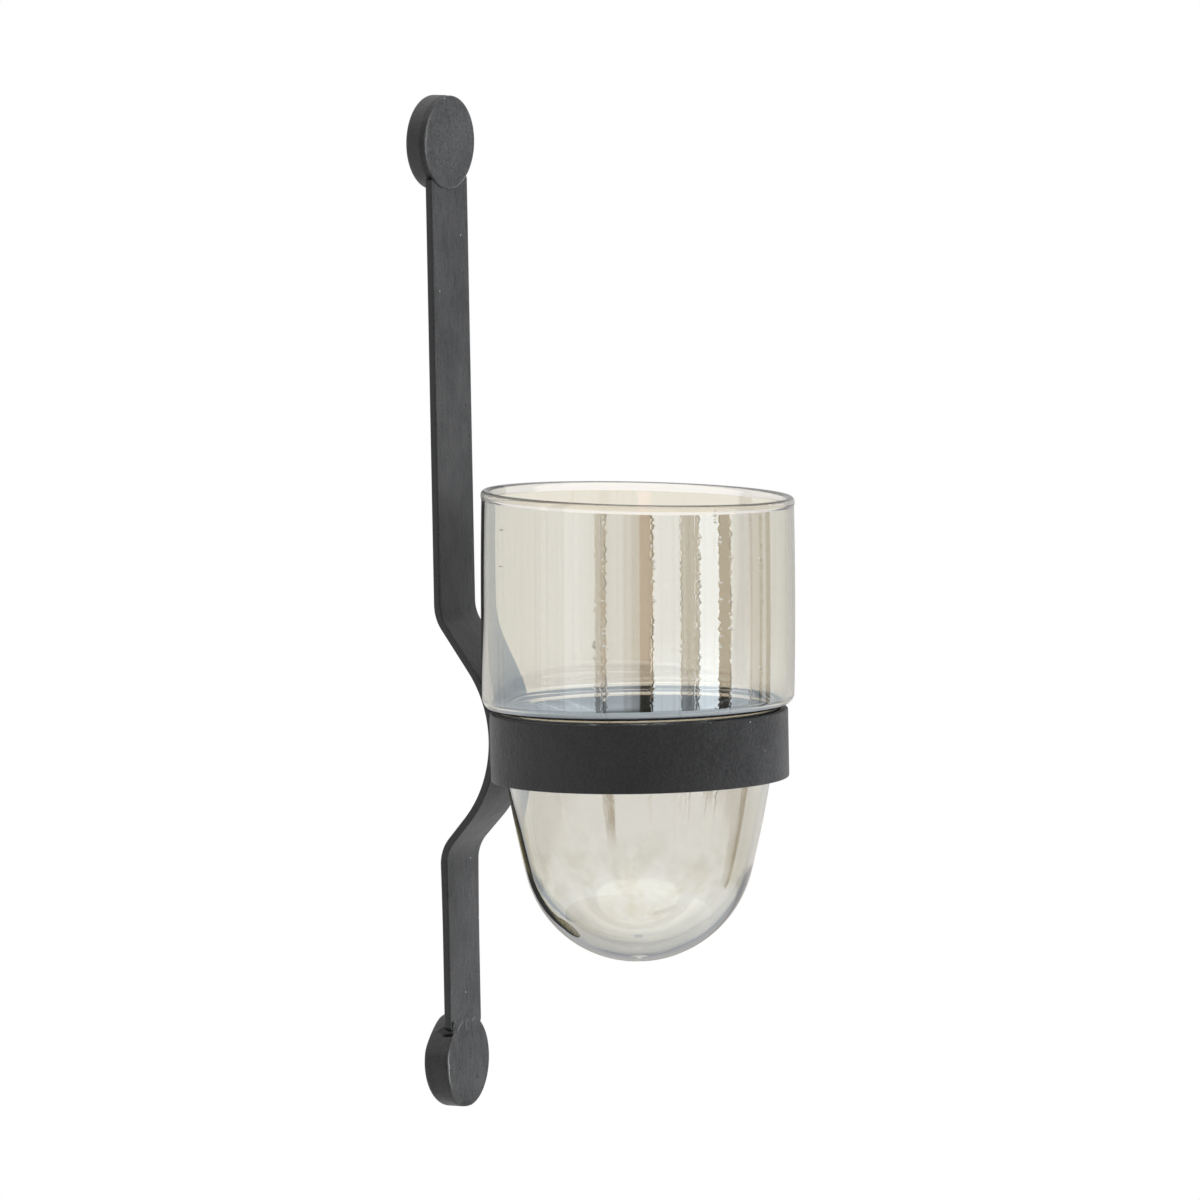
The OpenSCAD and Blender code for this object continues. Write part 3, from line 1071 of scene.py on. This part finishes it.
def outer_outline():
    """Half-section of the outside, from the top of the rim down to the bottom."""
    neck = body_outline(0, 0, shoulder_z - neck_r, body_rows)
    corner_z = shoulder_z + lower_corner_r
    corner_x = wall_radius(corner_z) - lower_corner_r
    corner = arc((corner_x, corner_z), lower_corner_r, -barrel_turn, -90, 16)
    hollow = arc((neck[0][0] + neck_r, shoulder_z - neck_r), neck_r, 90, 180, 8)
    bead = rim_bead(1)
    return bead + wall_line(bead[-1][1], corner[0][1], 0, wall_rows) + corner + hollow[:-1] + neck


def inner_outline():
    """Half-section of the inside, from the middle of the bottom up to the top of the rim."""
    ledge_z = shoulder_z + ledge_t
    inside = body_outline(glass_t, glass_bottom_t, ledge_z - ledge_r, body_rows)
    hollow = arc((inside[0][0] + ledge_r, ledge_z - ledge_r), ledge_r, 180, 90, 10)
    corner_z = ledge_z + inner_corner_r
    corner_x = wall_radius(corner_z) - glass_t - inner_corner_r
    corner = arc((corner_x, corner_z), inner_corner_r, -90, -barrel_turn, 14)
    bead = rim_bead(-1)[::-1]
    wall = wall_line(corner[-1][1], bead[0][1], glass_t, wall_rows)
    return inside[::-1][:-1] + hollow[:-1] + corner + wall + bead[:-1]


def revolve(outline, axis, steps, rim_rows, last_coated):
    """Turns a closed half-section about an upright axis: a rim, then coated rows, then clear rows."""
    mesh = bmesh.new()
    rings = turned_rings(mesh, outline, steps, lambda x, y, height: (axis.x + x, axis.y + y, height))
    for place in range(len(rings)):
        here, there = rings[place], rings[(place + 1) % len(rings)]
        if len(here) == 1 and len(there) == 1:
            continue
        for i in range(steps):
            j = (i + 1) % steps
            if len(there) == 1:
                corners = (here[i], there[0], here[j])
            elif len(here) == 1:
                corners = (here[0], there[i], there[j])
            else:
                corners = (here[i], there[i], there[j], here[j])
            on_rim = not rim_rows <= place < len(outline) - rim_rows
            mesh.faces.new(corners).material_index = 2 if on_rim else 0 if place < last_coated else 1
    bmesh.ops.recalc_face_normals(mesh, faces=mesh.faces)
    return mesh


# Drips of lustre on the outside: place in degrees round the cup, width in degrees, thickness
drips = [(-12.1, 0.3, 1.0), (-13.7, 0.22, 0.7), (-15.9, 0.2, 0.4), (5.2, 0.28, 1.0), (4.3, 0.2, 0.4),
         (15.6, 0.22, 0.8), (18.4, 0.2, 0.5), (20.6, 0.2, 0.5), (22.6, 0.3, 1.0), (28.6, 0.2, 0.3),
         (30.6, 0.24, 0.7), (35.7, 0.26, 0.8), (45.4, 0.24, 0.6), (51.5, 0.26, 0.6),
         (-48, 0.3, 0.12), (70, 0.4, 0.4), (150, 0.4, 0.2), (-155, 0.4, 0.2)]
drip_waver = 620.0
drip_sway = 2.4
drip_spread = 1.35
drip_rise = 0.5
drip_thinnest = 0.35
drip_end = ring_low.z - 0.013
drip_end_soft = 0.011
drip_rim_tint = (0.7, 0.6, 0.38, 1)
drip_tint = (0.16, 0.12, 0.05, 1)
smear_tint = (0.62, 0.55, 0.3, 1)
smear_middle = 0.024
smear_reach = 0.011
# An olive colour painted in a stripe down one side of the cup below the ring: a painted reflection
reflection_stripe_tint = (0.46, 0.39, 0.14, 1)
reflection_stripe_span = ((-100, -96), (-66, -62))
reflection_stripe_top = (ring_low.z - 0.012, ring_low.z)
rim_haze = 0.22


def lustre_marks(graph, place, tint):
    """The glass's tint with drips and smears of thick lustre, an olive stripe of painted reflection, and the
    drips' thickness.
    """
    spot = graph.vector("SUBTRACT", place, tuple(cup_axis))
    ahead = graph.vector("DOT_PRODUCT", spot, level_front, output="Value")
    aside = graph.vector("DOT_PRODUCT", spot, level_right, output="Value")
    level = graph.node("ShaderNodeSeparateXYZ", {0: place}, "Z")
    aside = aside - (level - ring_high.z) * cup_lean - seat_shift
    degrees = aside.maths("ARCTAN2", aside, ahead) * (180 / math.pi)
    drip = 0
    for count, (middle, width, thickness) in enumerate(drips):
        sway = (graph.noise_along(level + count, drip_waver, 2.0) - 0.5) * drip_sway
        thinned = graph.smooth(graph.noise_along(level - count, 60.0, 1.0), 0.4, 0.6)
        ridge = ((degrees - middle + sway) / (width * drip_spread)).bell()
        drip = drip + ridge * (drip_thinnest + thinned * (1 - drip_thinnest)) * thickness
    drip = drip * graph.smooth(level, drip_end, drip_end + drip_end_soft)
    tint = graph.blend(graph.smooth(drip, 0.02, 0.3), tint, drip_rim_tint)
    tint = graph.blend(graph.smooth(drip, 0.3, 0.8), tint, drip_tint)
    cloud = graph.smooth(graph.noise(place, 75.0, 5.0, 0.6), 0.47, 0.62)
    low_part = ((level - (cup_low.z + smear_middle)) / smear_reach).bell()
    tint = graph.blend(cloud * low_part, tint, smear_tint)
    # The olive stripe of painted reflection
    reflection_stripe = graph.window(degrees, *reflection_stripe_span) * (1 - graph.smooth(level, *reflection_stripe_top))
    return graph.blend(reflection_stripe, tint, reflection_stripe_tint), drip


def blown_glass(name, film_nm, film_ior, tint, dripped=False, hazed=False, ior=1.5):
    """Clear or tinted glass, with a lustre film of a given thickness where film_nm isn't 0."""
    glass, graph = new_material(name)
    place = graph.node("ShaderNodeTexCoord", output="Object")
    stretched = graph.node("ShaderNodeMapping", {"Vector": place, "Scale": (1, 1, 0.25)})
    drawn_out = graph.node("ShaderNodeMapping", {"Vector": place, "Scale": (1, 1, 0.04)})
    height = graph.noise(stretched, 70.0, 1.0) * 1.2 + graph.noise(drawn_out, 900.0, 2.0) * 0.03
    if dripped:
        tint, drip = lustre_marks(graph, place, tint)
        height = height + drip * drip_rise
    bump = graph.node("ShaderNodeBump", {"Height": height, "Strength": 0.2, "Distance": 0.0002})
    surface = graph.node("ShaderNodeBsdfPrincipled",
                         {"Base Color": tint, "Roughness": 0.0, "IOR": ior,
                          "Transmission Weight": 1.0, "Thin Film Thickness": film_nm,
                          "Thin Film IOR": film_ior, "Normal": bump})
    if hazed:
        straight = graph.node("ShaderNodeBsdfTransparent", {"Color": grey(1)})
        surface = graph.node("ShaderNodeMixShader", {0: rim_haze, 1: surface, 2: straight})
    graph.node("ShaderNodeOutputMaterial", {0: surface})
    return glass


def set_in_ring(mesh):
    """Lets the cup lean a little on its level shoulder, with a rim that isn't cut quite level."""
    seat = Vector((cup_axis.x, cup_axis.y, ring_high.z))
    up = Vector((0, 0, 1))
    for vert in mesh.verts:
        offset = vert.co - seat
        share = max(0.0, (vert.co.z - shoulder_z) / (rim_z - shoulder_z))
        cut = rim_front_lift * (offset.dot(level_front_way) + cup_r) - rim_slope * offset.dot(level_right)
        vert.co += level_right * (cup_lean * offset.z + seat_shift) + up * share * cut
    return mesh


outside = outer_outline()
inside = inner_outline()
rim_rows = sum(1 for _, height in outside if height > rim_z - clear_rim)
blown = revolve(outside + inside[1:], cup_axis, cup_steps, rim_rows, len(outside))
cup = new_object("blown_cup", set_in_ring(blown))
cup.data.materials.append(blown_glass("lustre_glass", 37.0, 2.8, (0.79, 0.768, 0.625, 1), dripped=True))
cup.data.materials.append(blown_glass("clear_glass", 0.0, 1.33, (0.99, 0.985, 0.975, 1)))
cup.data.materials.append(blown_glass("rim_glass", 0.0, 1.33, (0.97, 0.93, 0.86, 1), hazed=True))
cup.data.shade_smooth()
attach(cup, "glass")
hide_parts("glass_cup")


# Blisters
# Small bubbles and beads of lustre that stand on the outside of the glass, strung along its drips.
# Each is a thin bubble blown with the glass, which bends light less than solid glass does.
blister_r = 0.0003
blister_smallest = 0.8
blister_largest = 1.8
blister_stand = 0.85

# Lines of blisters: place in degrees round the cup, where a line starts and ends as shares of the
# way down from the rim to the shoulder, and how many blisters it has
blister_lines = [(-16.2, 0.52, 0.75, 5), (-12.9, 0.05, 0.9, 15), (5.2, 0.1, 0.5, 7), (15.8, 0.05, 0.9, 7),
                 (22.6, 0.08, 0.45, 11), (29.3, 0.02, 0.12, 6), (31.2, 0.05, 0.7, 8), (35.8, 0.1, 0.6, 6),
                 (50.5, 0.1, 0.9, 4), (-60.0, 0.1, 0.9, 2), (120.0, 0.1, 0.9, 6), (200.0, 0.1, 0.9, 8)]
line_sway = 0.35
blister_random = random.Random(11)
blister_spots = bmesh.new()
for place, top, foot, count in blister_lines:
    for _ in range(count):
        turned = math.radians(place + blister_random.uniform(-line_sway, line_sway))
        height = rim_z - (rim_z - shoulder_z) * blister_random.uniform(top, foot)
        way = level_front_way * math.cos(turned) + level_right * math.sin(turned)
        spot = cup_axis + wall_radius(height) * way
        spot.z = height
        blister_spots.verts.new(spot)
set_in_ring(blister_spots)


def blister_tree(paint):
    """Geometry nodes that set a small round bead of its own size on every point."""
    graph, given = start_tree("set_beads", "Spots", ["Middle"], ["Smallest", "Largest", "Stand"])
    sizes = graph.node("FunctionNodeRandomValue",
                       {"Min": given["Smallest"], "Max": given["Largest"], "Seed": 3}, "Value")
    bead = graph.node("GeometryNodeMeshIcoSphere", {"Radius": 1.0, "Subdivisions": 2})
    away = graph.vector("SUBTRACT", graph.node("GeometryNodeInputPosition"), given["Middle"])
    level_away = graph.vector("NORMALIZE", graph.vector("MULTIPLY", away, (1, 1, 0)))
    reach = graph.scale(level_away, sizes * given["Stand"])
    spots = graph.node("GeometryNodeSetPosition", {0: given["Spots"], "Offset": reach})
    beads = graph.node("GeometryNodeInstanceOnPoints", {"Points": spots, "Instance": bead, "Scale": sizes})
    return end_tree(graph, beads, "Beads", paint)


blister_glass = blown_glass("blister_glass", 0.0, 1.33, (1, 1, 1, 1), ior=1.2)
blister_sizes = {"Smallest": blister_r * blister_smallest, "Largest": blister_r * blister_largest,
                 "Stand": blister_stand, "Middle": cup_axis}
blister_start = new_object("blister_spots", blister_spots)
blister_mesh = run_nodes(blister_start, blister_tree(blister_glass), blister_sizes)
blisters = new_object("blown_blisters", blister_mesh)
blisters.data.shade_smooth()
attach(blisters, "glass")
